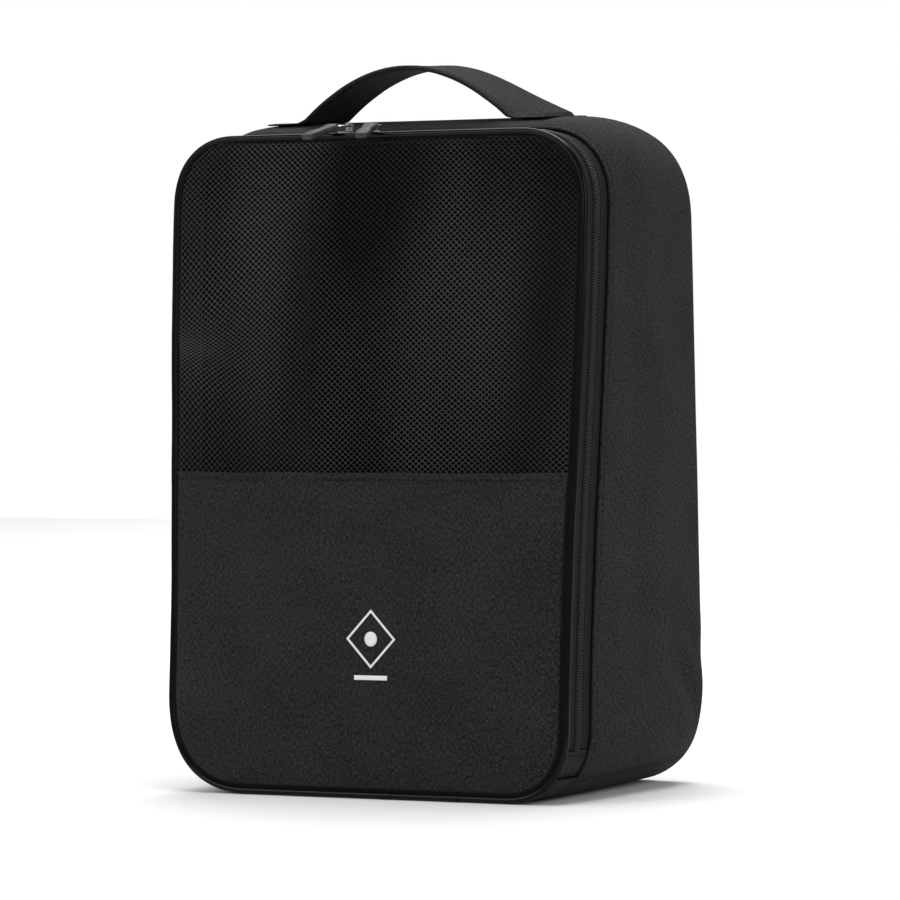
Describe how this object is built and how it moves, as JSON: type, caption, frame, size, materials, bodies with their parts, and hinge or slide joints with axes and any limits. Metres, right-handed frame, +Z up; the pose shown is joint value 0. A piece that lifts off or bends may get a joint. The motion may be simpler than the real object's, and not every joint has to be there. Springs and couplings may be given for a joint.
{
  "type": "shoe bag",
  "caption": "Upright soft shoe bag with a zipped mesh and fabric front that folds forward, two zip pulls and a sewn carry handle on top.",
  "frame": {"origin": "middle of the base's underside, halfway between the front-most and the back-most points", "axes": "+X to the bag's right seen from the front, +Y from the front to the back, +Z up"},
  "size_m": [0.258, 0.1484, 0.3829],
  "materials": {
    "oxford_cloth": "matte",
    "net_cloth": "matte",
    "lining_cloth": "matte",
    "webbing": "matte",
    "coil": "satin",
    "piping_vinyl": "gloss",
    "stiffener_sheet": "matte",
    "slider_metal": "satin",
    "pull_rubber": "matte",
    "white_print": "matte"
  },
  "bodies": {
    "shell": {"gusset_upper": "oxford_cloth", "gusset_base": "oxford_cloth", "back_panel": "oxford_cloth", "back_stiffener": "stiffener_sheet", "back_lining": "lining_cloth", "gusset_lining": "lining_cloth", "back_seam_binding": "webbing", "base_board": "stiffener_sheet", "zipper_tape_shell": "webbing", "zipper_coil_shell": "coil", "zip_end_tab_left": "oxford_cloth", "zip_end_tab_right": "oxford_cloth", "lid_hinge_strip": "oxford_cloth", "handle_foot_left": "oxford_cloth", "handle_foot_right": "oxford_cloth"},
    "lid": {"zipper_tape_lid": "webbing", "zipper_coil_lid": "coil", "front_piping": "piping_vinyl", "lid_seam_binding": "webbing", "mesh_window": "net_cloth", "lower_panel_lining": "lining_cloth", "front_lower_panel": "oxford_cloth", "printed_mark_frame": "white_print", "printed_mark_disc": "white_print", "printed_mark_bar": "white_print"},
    "handle": {"handle_strap": "oxford_cloth"},
    "slider_left": {"slider_left_body": "slider_metal", "slider_left_bridge": "slider_metal"},
    "loop_left": {"pull_left_loop": "slider_metal"},
    "grip_left": {"pull_left_grip": "pull_rubber"},
    "slider_right": {"slider_right_body": "slider_metal", "slider_right_bridge": "slider_metal"},
    "loop_right": {"pull_right_loop": "slider_metal"},
    "grip_right": {"pull_right_grip": "pull_rubber"}
  },
  "joints": [
    {"name": "lid_fold", "type": "hinge", "parent": "shell", "child": "lid", "pos_m": [0, -0.07178, 0.00205], "axis": [1, 0, 0], "range_deg": [0, 90]},
    {"name": "handle_swing", "type": "hinge", "parent": "shell", "child": "handle", "pos_m": [-0.006, 0.01322, 0.3606], "axis": [1, 0, 0], "range_deg": [-25, 25]},
    {"name": "slider_left_travel", "type": "slide", "parent": "lid", "child": "slider_left", "axis": [1, 0, 0], "range_m": [-0.05, 0]},
    {"name": "slider_right_travel", "type": "slide", "parent": "lid", "child": "slider_right", "axis": [1, 0, 0], "range_m": [0, 0.085]},
    {"name": "loop_left_swing", "type": "hinge", "parent": "slider_left", "child": "loop_left", "pos_m": [-0.026, -0.03028, 0.3531], "axis": [-0.9903, 0.1392, 0], "range_deg": [0, 100]},
    {"name": "loop_right_swing", "type": "hinge", "parent": "slider_right", "child": "loop_right", "pos_m": [-0.009, -0.03028, 0.3531], "axis": [-0.9397, -0.342, 0], "range_deg": [0, 100]},
    {"name": "grip_left_swing", "type": "hinge", "parent": "loop_left", "child": "grip_left", "pos_m": [-0.02753, -0.04117, 0.3531], "axis": [-0.9903, 0.1392, 0], "range_deg": [0, 45]},
    {"name": "grip_right_swing", "type": "hinge", "parent": "loop_right", "child": "grip_right", "pos_m": [-0.00524, -0.04062, 0.3531], "axis": [-0.9397, -0.342, 0], "range_deg": [0, 45]}
  ]
}
